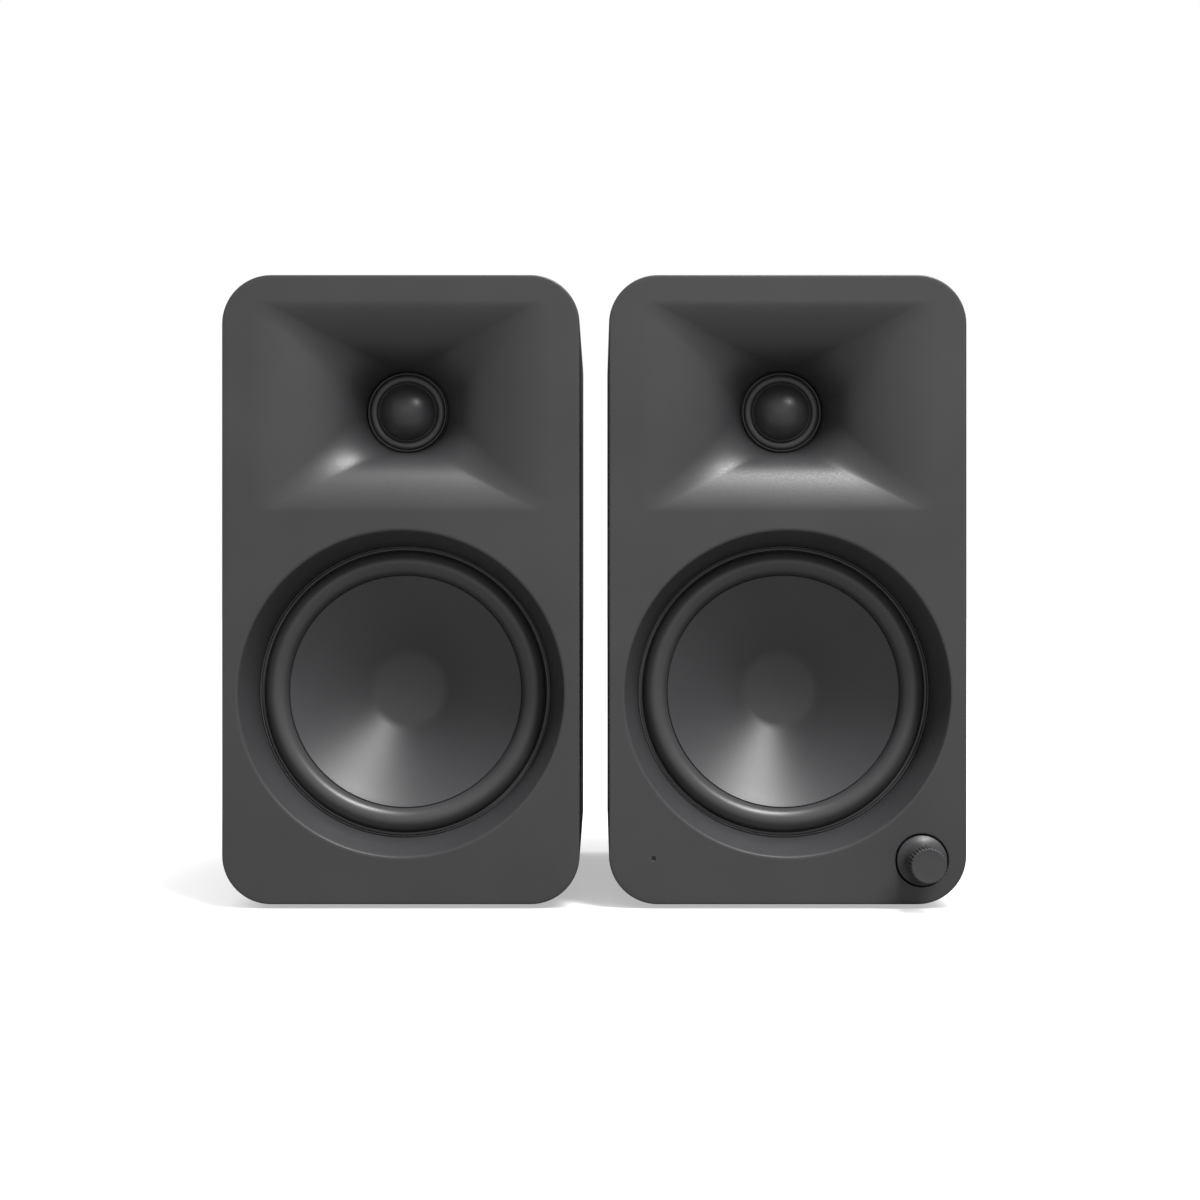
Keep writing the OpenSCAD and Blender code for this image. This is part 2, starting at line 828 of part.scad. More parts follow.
module rca_sockets() {
    color(aluminium) difference() {
        for (sx = [-1, 1]) {
            on_axis(sx * rca_x, rca_z) {
                disc(rca_collar_r, panel_y0 - 1, panel_y1 + rca_collar_out);
                disc(rca_r, panel_y1, panel_y1 + socket_out);
            }
            block(sx * rca_x, 11, [amp_y[1], panel_y0], about(rca_z, 6));
        }
        for (sx = [-1, 1]) on_axis(sx * rca_x, rca_z) {
            disc(1.65, panel_y1 - 2, panel_y1 + socket_out + 1);
            pipe(3.5, 2.9, panel_y1 + 1, panel_y1 + socket_out + 1);
        }
    }
}

module link_socket() {
    y0 = panel_y1 - link_depth - 2;
    color(dark_plastic) {
        difference() {
            block(0, link_size[0], [y0, panel_y1], about(link_z, link_size[1] / 2));
            block(0, link_hole[0], [y0 + 2, panel_y1 + 1], about(link_z, link_hole[1] / 2));
        }
        for (sx = [-1, 1]) block(sx * 3.7, 0.8, [y0 - 1, panel_y1 - 2], about(link_z, 2));
    }
}

module power_socket() {
    y0 = panel_y1 - power_depth - 2;
    color(dark_plastic) {
        difference() {
            union() {
                block(0, power_size[0], [panel_y0 - 9, panel_y1], about(power_z, power_size[1] / 2));
                block(0, power_size[0] - 3, [y0, panel_y1 - 1], about(power_z, power_size[1] / 2 - 1.2));
            }
            on_axis(0, power_z) for (sx = [-1, 1])
                translate([sx * (power_hole[0] - power_hole[1]) / 2, 0, 0])
                    disc(power_hole[1] / 2, y0 + 2, panel_y1 + 1);
            block(
                0, power_hole[0] - power_hole[1], [y0 + 2, panel_y1 + 1],
                about(power_z, power_hole[1] / 2)
            );
        }
        for (sx = [-1, 1]) on_axis(sx * 4.3, power_z) disc(1.2, y0, panel_y1 - 3);
    }
}

module crossover_board() {
    color(board_green) difference() {
        union() {
            block(0, 2 * crossover_half_w, crossover_y, crossover_z);
            translate([-8, 74, crossover_z[1] - 0.1]) cylinder(r = 7, h = 10);
            translate([14, 76, crossover_z[1] - 0.1]) cylinder(r = 5, h = 14);
            block(4, 10, [86, 94], [crossover_z[1] - 0.1, 22]);
        }
        translate([-8, 74, crossover_z[1] + 2]) cylinder(r = 3, h = 10);
        for (p = crossover_posts)
            translate([p[0], p[1], crossover_z[0] - 1]) cylinder(r = case_shaft_r + hole_gap, h = 4);
    }
}

module lead_pair(p, offset) {
    for (k = [0, 1]) translate(k * offset) lead(p, lead_r);
}

// Leads from the crossover to the two drivers and to the link socket or the amplifier
module wiring(link_end) {
    top = crossover_z[1] + lead_r + 0.2;
    side_by_side = [3 * lead_r, 0, 0];
    stepped = [2.4 * lead_r, -2.4 * lead_r, 0];
    woofer_end = [-33.2, 35.6, 72];
    tweeter_end = [16.2, tw_flange_y1 + 0.9, tweeter_z];
    color(lead_red) {
        lead_pair([[-22, 72, top], [-34, 66, 34], [-38, 42, 60], woofer_end], side_by_side);
        lead_pair([[20, 70, top], [34, 64, 70], [20, 46, 132], tweeter_end], side_by_side);
        lead_pair([[-4, 97, top], [-4, 108, 14], [36, 108, 14], link_end], stepped);
    }
}

// ---------- Assembly ----------

at_speaker(left) cabinet();  // left_cabinet
at_speaker(left) front_baffle(false);  // left_front_baffle
at_speaker(left) rear_panel(false);  // left_rear_panel
at_speaker(left) case_screws(false);  // left_case_screws
at_speaker(left) driver_screws();  // left_driver_screws
at_speaker(left) feet();  // left_feet
at_speaker(left) port_tube();  // left_port_tube
at_speaker(left) woofer_frame();  // left_woofer_frame
at_speaker(left) woofer_surround();  // left_woofer_surround
at_speaker(left) woofer_cone();  // left_woofer_cone
at_speaker(left) woofer_voice_coil();  // left_woofer_voice_coil
at_speaker(left) woofer_spider();  // left_woofer_spider
at_speaker(left) woofer_top_plate();  // left_woofer_top_plate
at_speaker(left) woofer_magnet();  // left_woofer_magnet
at_speaker(left) woofer_yoke();  // left_woofer_yoke
at_speaker(left) tweeter_flange();  // left_tweeter_flange
at_speaker(left) tweeter_surround();  // left_tweeter_surround
at_speaker(left) tweeter_dome();  // left_tweeter_dome
at_speaker(left) tweeter_voice_coil();  // left_tweeter_voice_coil
at_speaker(left) tweeter_magnet();  // left_tweeter_magnet
at_speaker(left) tweeter_cup();  // left_tweeter_cup
at_speaker(left) damping_foam();  // left_damping_foam
at_speaker(left) link_socket();  // left_link_socket
at_speaker(left) crossover_board();  // left_crossover_board
at_speaker(left) wiring([2.8, 122, link_z]);  // left_wiring
at_speaker(right) cabinet();  // right_cabinet
at_speaker(right) front_baffle(true);  // right_front_baffle
at_speaker(right) rear_panel(true);  // right_rear_panel
at_speaker(right) case_screws(true);  // right_case_screws
at_speaker(right) driver_screws();  // right_driver_screws
at_speaker(right) feet();  // right_feet
at_speaker(right) port_tube();  // right_port_tube
at_speaker(right) woofer_frame();  // right_woofer_frame
at_speaker(right) woofer_surround();  // right_woofer_surround
at_speaker(right) woofer_cone();  // right_woofer_cone
at_speaker(right) woofer_voice_coil();  // right_woofer_voice_coil
at_speaker(right) woofer_spider();  // right_woofer_spider
at_speaker(right) woofer_top_plate();  // right_woofer_top_plate
at_speaker(right) woofer_magnet();  // right_woofer_magnet
at_speaker(right) woofer_yoke();  // right_woofer_yoke
at_speaker(right) tweeter_flange();  // right_tweeter_flange
at_speaker(right) tweeter_surround();  // right_tweeter_surround
at_speaker(right) tweeter_dome();  // right_tweeter_dome
at_speaker(right) tweeter_voice_coil();  // right_tweeter_voice_coil
at_speaker(right) tweeter_magnet();  // right_tweeter_magnet
at_speaker(right) tweeter_cup();  // right_tweeter_cup
at_speaker(right) damping_foam();  // right_damping_foam
at_speaker(right) link_socket();  // right_link_socket
at_speaker(right) crossover_board();  // right_crossover_board
at_speaker(right) wiring([29, amp_y[0] - 0.8, 60]);  // right_wiring
at_speaker(right) volume_knob();
at_speaker(right) encoder_shaft();
at_speaker(right) encoder_rotor();
at_speaker(right) encoder_body();
at_speaker(right) status_lens();
at_speaker(right) control_board();
at_speaker(right) amp_board();
at_speaker(right) heat_sink();
at_speaker(right) rca_sockets();
at_speaker(right) power_socket();
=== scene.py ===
import json
import math

import bmesh
import bpy
import numpy as np
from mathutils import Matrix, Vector


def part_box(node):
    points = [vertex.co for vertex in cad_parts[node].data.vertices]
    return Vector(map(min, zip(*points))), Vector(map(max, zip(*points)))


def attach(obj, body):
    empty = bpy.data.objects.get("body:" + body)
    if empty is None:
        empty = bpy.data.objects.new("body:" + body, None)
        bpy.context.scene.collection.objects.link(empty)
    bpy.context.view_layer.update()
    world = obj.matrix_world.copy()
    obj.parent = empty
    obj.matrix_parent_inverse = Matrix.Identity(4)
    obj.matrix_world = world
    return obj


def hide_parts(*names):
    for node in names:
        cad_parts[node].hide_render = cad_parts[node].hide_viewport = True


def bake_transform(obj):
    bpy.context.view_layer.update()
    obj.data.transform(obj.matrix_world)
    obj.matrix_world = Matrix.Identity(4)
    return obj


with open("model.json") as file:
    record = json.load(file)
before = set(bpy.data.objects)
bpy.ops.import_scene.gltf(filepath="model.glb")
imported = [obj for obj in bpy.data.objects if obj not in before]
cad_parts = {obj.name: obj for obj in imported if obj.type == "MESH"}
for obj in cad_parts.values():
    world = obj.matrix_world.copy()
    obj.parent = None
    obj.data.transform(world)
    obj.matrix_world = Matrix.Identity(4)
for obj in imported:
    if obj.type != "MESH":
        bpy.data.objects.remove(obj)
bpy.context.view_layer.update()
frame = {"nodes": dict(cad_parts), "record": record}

CAMERA_LENS = 64.4
CAMERA_AT_M = (0.0016, -0.665, 0.0864)
camera_data = bpy.data.cameras.new("camera")
camera_data.lens = CAMERA_LENS
camera_data.sensor_width = 36
camera = bpy.data.objects.new("camera", camera_data)
camera.location = CAMERA_AT_M
camera.rotation_euler = (math.radians(90), 0, 0)
bpy.context.scene.collection.objects.link(camera)
bpy.context.scene.camera = camera
bpy.context.scene.view_settings.view_transform = "Standard"

# Every length below is in millimetres in a speaker's own frame, unless its name ends in _M or a
# comment says metres: x to the right, y from the front face to the back, z up from the cabinet's
# underside.
MM = 0.001
SIDES = ("left", "right")


# ---------- Places, from the frame ----------

def node_box(node):
    lo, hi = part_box(node)
    return lo / MM, hi / MM


def centre_of(node):
    lo, hi = node_box(node)
    return (lo + hi) / 2


case_lo, case_hi = node_box("right_cabinet")
face_lo = node_box("right_front_baffle")[0]
CAB_W = case_hi.x - case_lo.x
CAB_H = case_hi.z - case_lo.z
Y_FRONT = face_lo.y
Z_UNDER = case_lo.z
CAP_D = case_lo.y - Y_FRONT
CAB_D = case_hi.y - Y_FRONT
ORIGIN = {side: Vector((centre_of(f"{side}_cabinet").x, Y_FRONT, Z_UNDER)) for side in SIDES}
LOCAL = ORIGIN["right"]
WOOFER_Z = centre_of("right_woofer_cone").z - LOCAL.z
TWEETER_Z = centre_of("right_tweeter_dome").z - LOCAL.z
KNOB = centre_of("volume_knob") - LOCAL
KNOB_OUT = Y_FRONT - node_box("volume_knob")[0].y
LENS = centre_of("status_lens") - LOCAL
RING_Y = node_box("right_tweeter_flange")[0].y - LOCAL.y
SEAT_Y = node_box("right_woofer_frame")[0].y - LOCAL.y
CONE_LO, CONE_HI = (v - LOCAL for v in node_box("right_woofer_cone"))
DOME_LO, DOME_HI = (v - LOCAL for v in node_box("right_tweeter_dome"))
SPIDER_LO, SPIDER_HI = (v - LOCAL for v in node_box("right_woofer_spider"))

# ---------- Sizes ----------

CORNER_R = 13.7
WALL = 4.0
FACE_T = 3.0
SHELL_T = 1.8
EDGE_R = 0.45
SEAM_BEVEL = 0.25

MOUTH_W, MOUTH_H = 85.4, 59.2
THROAT_R = 11.7
THROAT_Y = RING_Y + 2.0
RECESS_R = 45.6
SEAT_R = 41.7
RECESS_D = 14.0
CONE_FALL = 12.5                # from the cone's rim to the edge of its dish
SPIDER_WAVE, SPIDER_HALF_T = 0.7, 0.17
DISH_R = 10.5
KNOB_HOLE_R = 7.4
GRIP_R, STEM_R, SKIRT_R = 5.0, 4.5, 7.0
GRIP_D = 6.2                    # from the front of the grip to its back
TEETH, TOOTH_DEPTH = 32, 0.42
SKIRT_SWEEP = 4.5               # a higher power keeps the skirt flat for longer
LENS_HOLE_R = 0.6


# ---------- Mesh helpers ----------

def place(points, origin):
    return [tuple((Vector(p) + origin) * MM) for p in points]


def finish_mesh(name, verts, faces, origin, smooth_angle=35.0):
    """A mesh object from points in millimetres: faces turned outwards, smooth up to an angle."""
    mesh = bpy.data.meshes.new(name)
    mesh.from_pydata(place(verts, origin), [], [tuple(f) for f in faces])
    bm = bmesh.new()
    bm.from_mesh(mesh)
    bmesh.ops.remove_doubles(bm, verts=bm.verts, dist=1e-7)
    bmesh.ops.recalc_face_normals(bm, faces=bm.faces)
    bm.to_mesh(mesh)
    bm.free()
    mesh.shade_smooth()
    mesh.set_sharp_from_angle(angle=math.radians(smooth_angle))
    obj = bpy.data.objects.new(name, mesh)
    bpy.context.scene.collection.objects.link(obj)
    return obj


def arc(cx, cy, r, a0, a1, n):
    turns = [math.radians(a0 + (a1 - a0) * i / n) for i in range(n + 1)]
    return [(cx + r * math.cos(a), cy + r * math.sin(a)) for a in turns]


def lerp(a, b, t):
    return a + (b - a) * t


def revolve(profile, cx, cz, steps):
    """Turns a closed outline of (radius, depth) about a depth axis."""
    verts, faces, rows = [], [], []
    for r, y in profile:
        if r < 1e-6:
            rows.append([len(verts)] * steps)
            verts.append((cx, y, cz))
        else:
            rows.append(list(range(len(verts), len(verts) + steps)))
            verts += circle(cx, cz, r, y, steps)
    for a, b in zip(rows, rows[1:] + rows[:1]):
        for k in range(steps):
            quad = [a[k], a[(k + 1) % steps], b[(k + 1) % steps], b[k]]
            face = [v for i, v in enumerate(quad) if v not in quad[:i]]
            if len(face) > 2:
                faces.append(face)
    return verts, faces


class Skin:
    """Collects rings of points, bands between them and flat fills."""

    def __init__(self):
        self.verts = []
        self.faces = []

    def ring(self, points):
        start = len(self.verts)
        self.verts += [tuple(p) for p in points]
        return list(range(start, start + len(points)))

    def band(self, a, b):
        n = len(a)
        self.faces += [(a[i], a[(i + 1) % n], b[(i + 1) % n], b[i]) for i in range(n)]

    def bands(self, rings):
        loops = [self.ring(r) for r in rings]
        for a, b in zip(loops, loops[1:]):
            self.band(a, b)
        return loops[0], loops[-1]

    def fill(self, loops):
        """Fills the flat region between an outer loop and its holes with triangles."""
        bm = bmesh.new()
        index = {}
        edges = []
        for loop in loops:
            vs = []
            for i in loop:
                v = bm.verts.new(self.verts[i])
                index[v] = i
                vs.append(v)
            edges += [bm.edges.new((vs[k], vs[(k + 1) % len(vs)])) for k in range(len(vs))]
        bmesh.ops.triangle_fill(bm, use_beauty=True, use_dissolve=False, edges=edges, normal=(0, -1, 0))
        self.faces += [tuple(index[v] for v in f.verts) for f in bm.faces]
        bm.free()


def circle(cx, cz, r, y, n):
    turns = [2 * math.pi * k / n for k in range(n)]
    return [(cx + r * math.cos(a), y, cz + r * math.sin(a)) for a in turns]


def round_rect(cx, cz, half_w, half_h, r, y, corner_n, side_n):
    """A rounded rectangle as a ring at depth y, with side_n steps along each straight side."""
    out = []
    for k in range(4):
        sx = 1 if k in (0, 3) else -1
        sz = 1 if k < 2 else -1
        ox, oz = cx + sx * (half_w - r), cz + sz * (half_h - r)
        turns = [math.radians(90 * (k + i / corner_n)) for i in range(corner_n + 1)]
        out += [(ox + r * math.cos(a), y, oz + r * math.sin(a)) for a in turns]
        nk = (k + 1) % 4
        nsx = 1 if nk in (0, 3) else -1
        nsz = 1 if nk < 2 else -1
        nx, nz = cx + nsx * (half_w - r), cz + nsz * (half_h - r)
        end = (nx + r * math.cos(math.radians(90 * nk)), y, nz + r * math.sin(math.radians(90 * nk)))
        start = out[-1]
        out += [tuple(lerp(start[j], end[j], i / side_n) for j in range(3)) for i in range(1, side_n)]
    return out


def soft_copy(node, width):
    """A copy of a CAD node's mesh with its sharp edges rounded. It stands for the node."""
    source = frame["nodes"][node]
    mesh = source.data.copy()
    mesh.name = f"{node}_soft"
    bm = bmesh.new()
    bm.from_mesh(mesh)
    bmesh.ops.remove_doubles(bm, verts=bm.verts, dist=1e-7)
    bmesh.ops.dissolve_limit(bm, angle_limit=math.radians(0.6), verts=bm.verts, edges=bm.edges)
    bm.to_mesh(mesh)
    bm.free()
    obj = bpy.data.objects.new(mesh.name, mesh)
    bpy.context.scene.collection.objects.link(obj)
    bevel = obj.modifiers.new("round", "BEVEL")
    bevel.width = width * MM
    bevel.segments = 2
    bevel.limit_method = "ANGLE"
    bevel.angle_limit = math.radians(30)
    bevel.use_clamp_overlap = True
    bevel.harden_normals = False
    apply_modifiers(obj)
    obj.data.shade_smooth()
    obj.data.set_sharp_from_angle(angle=math.radians(40))
    flat = obj.modifiers.new("flat", "WEIGHTED_NORMAL")
    flat.mode = "FACE_AREA"
    flat.weight = 100
    flat.keep_sharp = True
    apply_modifiers(obj)
    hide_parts(node)
    return obj


def apply_modifiers(obj):
    dg = bpy.context.evaluated_depsgraph_get()
    done = bpy.data.meshes.new_from_object(obj.evaluated_get(dg))
    old = obj.data
    obj.modifiers.clear()
    obj.data = done
    bpy.data.meshes.remove(old)


# ---------- Materials ----------

def node_tree(name):
    mat = bpy.data.materials.new(name)
    mat.use_nodes = True
    tree = mat.node_tree
    return mat, tree, tree.nodes["Principled BSDF"]


def link(tree, a, b):
    tree.links.new(a, b)


def noise(tree, coords, scale, detail=2.0, rough=0.5):
    n = tree.nodes.new("ShaderNodeTexNoise")
    n.inputs["Scale"].default_value = scale
    n.inputs["Detail"].default_value = detail
    n.inputs["Roughness"].default_value = rough
    link(tree, coords, n.inputs["Vector"])
    return n.outputs["Fac"]


def ranged(tree, value, lo, hi, from_lo=0.3, from_hi=0.7):
    n = tree.nodes.new("ShaderNodeMapRange")
    for socket, number in zip(("From Min", "From Max", "To Min", "To Max"), (from_lo, from_hi, lo, hi)):
        n.inputs[socket].default_value = number
    link(tree, value, n.inputs["Value"])
    return n.outputs["Result"]


def ramp(tree, value, colours):
    n = tree.nodes.new("ShaderNodeValToRGB")
    n.color_ramp.elements[0].position, n.color_ramp.elements[1].position = colours[0][0], colours[-1][0]
    n.color_ramp.elements[0].color = (*colours[0][1], 1)
    n.color_ramp.elements[1].color = (*colours[-1][1], 1)
    for position, colour in colours[1:-1]:
        n.color_ramp.elements.new(position).color = (*colour, 1)
    link(tree, value, n.inputs["Fac"])
    return n.outputs["Color"]


def object_coords(tree):
    return tree.nodes.new("ShaderNodeTexCoord").outputs["Object"]


def bumps(tree, heights, bsdf):
    """Chains bump nodes: heights is a list of (value, strength, distance in metres)."""
    last = None
    for value, strength, distance in heights:
        n = tree.nodes.new("ShaderNodeBump")
        n.inputs["Strength"].default_value = strength
        n.inputs["Distance"].default_value = distance
        link(tree, value, n.inputs["Height"])
        if last:
            link(tree, last, n.inputs["Normal"])
        last = n.outputs["Normal"]
    link(tree, last, bsdf.inputs["Normal"])


def moulded(name, colour, rough, grain=3200.0, depth=0.00002, strength=0.5, mottle=0.08):
    """A matt surface with a fine grain: plastic, rubber, cloth or foam. The depth is in metres."""
    mat, tree, bsdf = node_tree(name)
    at = object_coords(tree)
    fine = noise(tree, at, grain, 3.0, 0.6)
    broad = noise(tree, at, 38.0, 3.0)
    lo = tuple(c * (1 - mottle) for c in colour)
    hi = tuple(c * (1 + mottle) for c in colour)
    link(tree, ramp(tree, broad, [(0.3, lo), (0.5, colour), (0.7, hi)]), bsdf.inputs["Base Color"])
    link(tree, ranged(tree, fine, rough - 0.06, rough + 0.06), bsdf.inputs["Roughness"])
    bumps(tree, [(fine, strength, depth)], bsdf)
    return mat


def metal(name, colour, rough, grain=900.0, stretch=(1, 1, 1)):
    """Drawn, ground or plated metal: fine streaks in tone and gloss."""
    mat, tree, bsdf = node_tree(name)
    mapping = tree.nodes.new("ShaderNodeMapping")
    mapping.inputs["Scale"].default_value = stretch
    link(tree, object_coords(tree), mapping.inputs["Vector"])
    streak = noise(tree, mapping.outputs["Vector"], grain, 4.0, 0.6)
    lo = tuple(c * 0.86 for c in colour)
    hi = tuple(min(c * 1.1, 1.0) for c in colour)
    link(tree, ramp(tree, streak, [(0.3, lo), (0.7, hi)]), bsdf.inputs["Base Color"])
    link(tree, ranged(tree, streak, rough - 0.08, rough + 0.1), bsdf.inputs["Roughness"])
    bsdf.inputs["Metallic"].default_value = 1.0
    bumps(tree, [(streak, 0.25, 0.00001)], bsdf)
    return mat


MATERIALS = {
    "case_plastic": moulded("charcoal_case", (0.037, 0.037, 0.039), 0.43, grain=2000.0, depth=0.00004),
    "panel_plastic": moulded("black_panel", (0.026, 0.026, 0.028), 0.5, grain=2200.0, depth=0.00003),
    "driver_plastic": moulded("black_driver_plastic", (0.020, 0.020, 0.022), 0.42),
    "screw_steel": metal("black_screw_steel", (0.12, 0.12, 0.125), 0.42),
    "foot_rubber": moulded("foot_rubber", (0.015, 0.015, 0.015), 0.7, grain=1800.0),
    "surround_rubber": moulded("surround_rubber", (0.048, 0.048, 0.050), 0.37, grain=4200.0, depth=0.000008),
    "cone": moulded("cone_skin", (0.046, 0.046, 0.049), 0.41, grain=3600.0, depth=0.000012),
    "winding": metal("copper_winding", (0.6, 0.27, 0.12), 0.3, 4000.0, (0.05, 1, 0.05)),
    "spider_cloth": moulded("spider_cloth", (0.35, 0.2, 0.06), 0.8, grain=2500.0, depth=0.00006),
    "motor_steel": metal("plated_steel", (0.55, 0.56, 0.58), 0.34),
    "ferrite": moulded("ferrite", (0.05, 0.05, 0.055), 0.6, grain=1200.0),
    "dome_cloth": moulded("dome_cloth", (0.042, 0.042, 0.045), 0.36, grain=4200.0, depth=0.00003),
    "foam": moulded("open_foam", (0.12, 0.12, 0.13), 0.95, grain=900.0, depth=0.0004, strength=1.0),
    "circuit_board": moulded("circuit_board", (0.02, 0.09, 0.04), 0.4, grain=900.0, mottle=0.25),
    "lead_sheath": moulded("lead_sheath", (0.35, 0.03, 0.02), 0.5, grain=1500.0),
    "aluminium": metal("extruded_aluminium", (0.76, 0.77, 0.78), 0.38, 1400.0, (1, 1, 0.05)),
    "lens": moulded("lens_plastic", (0.006, 0.006, 0.007), 0.3, grain=800.0, depth=0.000005),
    "socket_metal": metal("nickel_socket", (0.6, 0.58, 0.55), 0.28, 260.0),
}


def dress(obj, slot_name, body, *nodes):
    obj.data.materials.clear()
    obj.data.materials.append(MATERIALS[slot_name])
    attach(obj, body)
    if nodes:
        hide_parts(*nodes)
    return obj


# ---------- Front cap ----------

FLARE_W, FLARE_H = 5.6, 5.2     # depth over which the opening shrinks by a factor e
SIDE_SOFTNESS, TOP_SOFTNESS = 0.75, 0.88    # below 1 the walls leave the face gently
MOUTH_SOFT = 0.35
HORN_ROWS = 48
HORN_CORNER_POWER = 2.2         # how late the mouth's corners open into the round throat
HORN_ROW_POWER = 2.2            # above 1 the rows lie closer together near the face
RECESS_POWER = 1.8


def flare(depth, length, power=1.0):
    """Share of the mouth's spread left at a depth: 1 at the mouth, 0 at the throat."""
    end = math.exp(-((THROAT_Y / length) ** power))
    return max((math.exp(-((depth / length) ** power)) - end) / (1 - end), 0.0)


def horn_ring(depth, grow=0.0):
    """The waveguide's outline at a depth: an exponential flare from a round throat to a wide mouth."""
    share = flare(depth, FLARE_W, SIDE_SOFTNESS)
    half_w = THROAT_R + (MOUTH_W / 2 - THROAT_R) * share + grow
    half_h = THROAT_R + (MOUTH_H / 2 - THROAT_R) * flare(depth, FLARE_H, TOP_SOFTNESS) + grow
    r = min(lerp(3.5, THROAT_R, (1 - share) ** HORN_CORNER_POWER) + grow, half_w, half_h)
    y = math.hypot(depth, MOUTH_SOFT) - MOUTH_SOFT
    return round_rect(0, TWEETER_Z, half_w, half_h, r, y, corner_n=14, side_n=12)


def horn_depths():
    return [THROAT_Y * (i / HORN_ROWS) ** HORN_ROW_POWER for i in range(HORN_ROWS + 1)]


def recess_radius(y):
    return SEAT_R + (RECESS_R - SEAT_R) * (1 - min(y / RECESS_D, 1)) ** RECESS_POWER


def case_ring(inset, y):
    half_w, half_h = CAB_W / 2 - inset, CAB_H / 2 - inset
    return round_rect(0, CAB_H / 2, half_w, half_h, CORNER_R - inset, y, corner_n=16, side_n=8)


def front_cap(side):
    skin = Skin()
    front_loops, back_loops = [], []

    edge = arc(EDGE_R, EDGE_R, EDGE_R, -90, -180, 6)
    rim = [(EDGE_R + 1.0, 0)] + edge
    rim += [(0, CAP_D - SEAM_BEVEL), (SEAM_BEVEL, CAP_D), (WALL, CAP_D), (WALL, FACE_T)]
    first, last = skin.bands([case_ring(inset, y) for inset, y in rim])
    front_loops.append(first)
    back_loops.append(last)

    # Waveguide: the inner skin from the face to the throat, then the outer skin back to the face
    inner = [horn_ring(depth) for depth in horn_depths()]
    outer_depths = [lerp(THROAT_Y, FACE_T, i / 12) for i in range(13)]
    outer = [[(x, max(y, FACE_T), z) for x, y, z in horn_ring(depth, SHELL_T)] for depth in outer_depths]
    first, last = skin.bands(inner + outer)
    front_loops.append(first)
    back_loops.append(last)

    # Woofer recess
    n = 144
    depths = [RECESS_D * (i / 20) ** 1.3 for i in range(21)]
    profile = [(RECESS_R + 0.9, 0), (RECESS_R + 0.18, 0.0), (RECESS_R + 0.12, 0.05)]
    profile += [(recess_radius(y), y + 0.12) for y in depths[1:]]
    profile += [(SEAT_R, SEAT_Y), (SEAT_R + SHELL_T, SEAT_Y)]
    profile += [(recess_radius(y) + SHELL_T, y) for y in reversed(depths) if y > FACE_T]
    profile += [(recess_radius(FACE_T) + 1.9, FACE_T)]
    first, last = skin.bands([circle(0, WOOFER_Z, r, y, n) for r, y in profile])
    front_loops.append(first)
    back_loops.append(last)

    if side == "right":
        for x, z, r, count in ((KNOB.x, KNOB.z, KNOB_HOLE_R, 72), (LENS.x, LENS.z, LENS_HOLE_R, 24)):
            lip = min(0.3, r * 0.3)
            holes = [(r + 2 * lip, 0), (r + lip, 0)] + arc(r + lip, lip, lip, -90, -180, 4)[1:]
            holes += [(r, FACE_T)]
            first, last = skin.bands([circle(x, z, rr, y, count) for rr, y in holes])
            front_loops.append(first)
            back_loops.append(last)

    skin.fill(front_loops)
    skin.fill(back_loops)
    obj = finish_mesh(f"{side}_front_cap", skin.verts, skin.faces, ORIGIN[side], 50)
    return dress(obj, "case_plastic", f"{side}_speaker", f"{side}_front_baffle")


def case_shell(side):
    skin = Skin()
    rear_r = 1.2
    profile = [(WALL, CAP_D), (SEAM_BEVEL, CAP_D), (0, CAP_D + SEAM_BEVEL), (0, CAB_D - rear_r)]
    profile += arc(rear_r, CAB_D - rear_r, rear_r, 180, 90, 6)[1:]
    profile += [(WALL - 0.5, CAB_D), (WALL, CAB_D - 0.5)]
    rings = [skin.ring(case_ring(inset, y)) for inset, y in profile]
    for a, b in zip(rings, rings[1:] + rings[:1]):
        skin.band(a, b)
    obj = finish_mesh(f"{side}_case", skin.verts, skin.faces, ORIGIN[side], 40)
    return dress(obj, "case_plastic", f"{side}_speaker", f"{side}_cabinet")


# ---------- Drivers ----------

def turned(name, side, z, profile, slot_name, body, *nodes, steps=144):
    verts, faces = revolve(profile, 0, z, steps)
    obj = finish_mesh(name, verts, faces, ORIGIN[side])
    return dress(obj, slot_name, body, *nodes)


